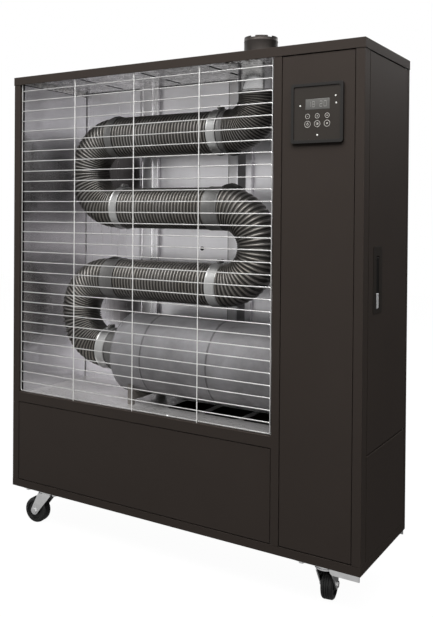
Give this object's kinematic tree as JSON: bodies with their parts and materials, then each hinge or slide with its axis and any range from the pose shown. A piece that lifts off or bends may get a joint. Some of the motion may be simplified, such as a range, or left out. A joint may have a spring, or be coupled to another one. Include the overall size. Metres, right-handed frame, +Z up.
{
  "type": "diesel heater",
  "caption": "Tall flat diesel radiant heater on castors: a ribbed serpentine flue tube behind a wire guard, control panel, hinged burner door and top flue collar.",
  "frame": {"origin": "on the floor, under the middle of the whole part's box", "axes": "+X towards the control column, +Y to the rear, +Z up"},
  "size_m": [0.94, 0.279, 1.187],
  "materials": {
    "cabinet_paint": "satin powder coat",
    "inner_steel": "plain zinc coated sheet",
    "reflector": "embossed, bright",
    "tube_steel": "heat tinted, ribbed",
    "drum_steel": "heat tinted",
    "band_steel": "bright",
    "ring_steel": "dark heat tinted",
    "guard_wire": "plated wire",
    "flue_steel": "dull",
    "burner_metal": "satin",
    "motor_metal": "cast, dull",
    "tank_metal": "satin",
    "copper_line": "drawn",
    "black_plastic": "fine texture",
    "grey_plastic": "fine texture",
    "key_plastic": "smooth",
    "key_dark": "smooth",
    "display_glass": "smoked",
    "board_green": "solder mask",
    "latch_plastic": "smooth",
    "latch_chrome": "polished",
    "zinc_plate": "zinc plated",
    "wheel_rubber": "moulded"
  },
  "bodies": {
    "cabinet": {"top_cover": "cabinet_paint", "base_pan": "cabinet_paint", "left_side_panel": "cabinet_paint", "right_front_post": "cabinet_paint", "window_frame": "cabinet_paint", "lower_front_panel": "cabinet_paint", "control_column_panel": "cabinet_paint", "side_lower_panel": "cabinet_paint", "rear_panel": "cabinet_paint", "power_inlet": "black_plastic", "door_hinge_pins": "inner_steel", "rear_reflector": "reflector", "top_reflector": "reflector", "floor_deck": "inner_steel", "partition_wall": "inner_steel", "combustion_drum": "drum_steel", "tube_pass_top": "tube_steel", "tube_pass_middle": "tube_steel", "tube_pass_lower": "tube_steel", "tube_bend_left": "tube_steel", "tube_bend_right": "tube_steel", "tube_bend_lower": "tube_steel", "flue_elbow": "tube_steel", "coupling_rings": "ring_steel", "clamp_bands": "band_steel", "flue_connector": "band_steel", "flue_collar": "flue_steel", "guard_grille": "guard_wire", "burner_housing": "burner_metal", "burner_motor": "motor_metal", "blast_tube": "ring_steel", "ignition_transformer": "black_plastic", "fuel_pump": "burner_metal", "fuel_tank": "tank_metal", "fuel_line": "copper_line", "control_bezel": "grey_plastic", "display_window": "display_glass", "control_board": "board_green", "castor_plates": "zinc_plate"},
    "door": {"burner_door": "cabinet_paint", "latch_housing": "latch_plastic"},
    "burner_fan": {"burner_fan": "motor_metal"},
    "fuel_cap": {"fuel_cap": "black_plastic"},
    "latch_button": {"latch_button": "latch_chrome"},
    "latch_handle": {"latch_handle": "latch_plastic"},
    "latch_tongue": {"latch_tongue": "inner_steel"},
    "key_upper_left": {"key_upper_left": "key_plastic"},
    "key_upper_middle": {"key_upper_middle": "key_plastic"},
    "key_upper_right": {"key_upper_right": "key_plastic"},
    "key_lower_left": {"key_lower_left": "key_dark"},
    "key_lower_middle": {"key_lower_middle": "key_plastic"},
    "key_lower_right": {"key_lower_right": "key_plastic"},
    "castor_fork_front_left": {"castor_fork_front_left": "zinc_plate"},
    "castor_wheel_front_left": {"castor_wheel_front_left": "wheel_rubber"},
    "castor_fork_rear_left": {"castor_fork_rear_left": "zinc_plate"},
    "castor_wheel_rear_left": {"castor_wheel_rear_left": "wheel_rubber"},
    "castor_fork_front_right": {"castor_fork_front_right": "zinc_plate"},
    "castor_wheel_front_right": {"castor_wheel_front_right": "wheel_rubber"},
    "castor_fork_rear_right": {"castor_fork_rear_right": "zinc_plate"},
    "castor_wheel_rear_right": {"castor_wheel_rear_right": "wheel_rubber"}
  },
  "joints": [
    {"name": "door_hinge", "type": "hinge", "parent": "cabinet", "child": "door", "pos_m": [0.4645, 0.1215, 0.7155], "axis": [0, 0, 1], "range_deg": [0, 110]},
    {"name": "handle_pivot", "type": "hinge", "parent": "door", "child": "latch_handle", "pos_m": [0.4655, -0.055, 0.7035], "axis": [0, -1, 0], "range_deg": [0, 35]},
    {"name": "button_press", "type": "slide", "parent": "door", "child": "latch_button", "axis": [-1, 0, 0], "range_m": [0, 0.003], "stiffness_N_per_m": 200},
    {"name": "tongue_slide", "type": "slide", "parent": "door", "child": "latch_tongue", "axis": [0, 1, 0], "range_m": [0, 0.013]},
    {"name": "fan_spin", "type": "hinge", "parent": "cabinet", "child": "burner_fan", "pos_m": [0.31, -0.003, 0.445], "axis": [1, 0, 0], "continuous": true},
    {"name": "cap_turn", "type": "hinge", "parent": "cabinet", "child": "fuel_cap", "pos_m": [0.4, -0.0355, 0.347], "axis": [0, 0, 1], "range_deg": [0, 90]},
    {"name": "key_upper_left_press", "type": "slide", "parent": "cabinet", "child": "key_upper_left", "axis": [0, 1, 0], "range_m": [0, 0.0006], "stiffness_N_per_m": 400},
    {"name": "key_upper_middle_press", "type": "slide", "parent": "cabinet", "child": "key_upper_middle", "axis": [0, 1, 0], "range_m": [0, 0.0006], "stiffness_N_per_m": 400},
    {"name": "key_upper_right_press", "type": "slide", "parent": "cabinet", "child": "key_upper_right", "axis": [0, 1, 0], "range_m": [0, 0.0006], "stiffness_N_per_m": 400},
    {"name": "key_lower_left_press", "type": "slide", "parent": "cabinet", "child": "key_lower_left", "axis": [0, 1, 0], "range_m": [0, 0.0006], "stiffness_N_per_m": 400},
    {"name": "key_lower_middle_press", "type": "slide", "parent": "cabinet", "child": "key_lower_middle", "axis": [0, 1, 0], "range_m": [0, 0.0006], "stiffness_N_per_m": 400},
    {"name": "key_lower_right_press", "type": "slide", "parent": "cabinet", "child": "key_lower_right", "axis": [0, 1, 0], "range_m": [0, 0.0006], "stiffness_N_per_m": 400},
    {"name": "swivel_front_left", "type": "hinge", "parent": "cabinet", "child": "castor_fork_front_left", "pos_m": [-0.382, -0.0975, 0.082], "axis": [0, 0, 1], "continuous": true},
    {"name": "roll_front_left", "type": "hinge", "parent": "castor_fork_front_left", "child": "castor_wheel_front_left", "pos_m": [-0.41178, -0.10116, 0.0315], "axis": [0.1219, -0.9925, 0], "continuous": true},
    {"name": "swivel_rear_left", "type": "hinge", "parent": "cabinet", "child": "castor_fork_rear_left", "pos_m": [-0.382, 0.1015, 0.082], "axis": [0, 0, 1], "continuous": true},
    {"name": "roll_rear_left", "type": "hinge", "parent": "castor_fork_rear_left", "child": "castor_wheel_rear_left", "pos_m": [-0.41019, 0.11176, 0.0315], "axis": [-0.342, -0.9397, 0], "continuous": true},
    {"name": "swivel_front_right", "type": "hinge", "parent": "cabinet", "child": "castor_fork_front_right", "pos_m": [0.382, -0.0975, 0.082], "axis": [0, 0, 1], "continuous": true},
    {"name": "roll_front_right", "type": "hinge", "parent": "castor_fork_front_right", "child": "castor_wheel_front_right", "pos_m": [0.37731, -0.06787, 0.0315], "axis": [-0.9877, -0.1564, 0], "continuous": true},
    {"name": "swivel_rear_right", "type": "hinge", "parent": "cabinet", "child": "castor_fork_rear_right", "pos_m": [0.382, 0.1015, 0.082], "axis": [0, 0, 1], "continuous": true},
    {"name": "roll_rear_right", "type": "hinge", "parent": "castor_fork_rear_right", "child": "castor_wheel_rear_right", "pos_m": [0.35381, 0.09124, 0.0315], "axis": [0.342, -0.9397, 0], "continuous": true}
  ],
  "couplings": [
    {"joint": "tongue_slide", "follows": "handle_pivot", "m_per_rad": 0.02128}
  ]
}
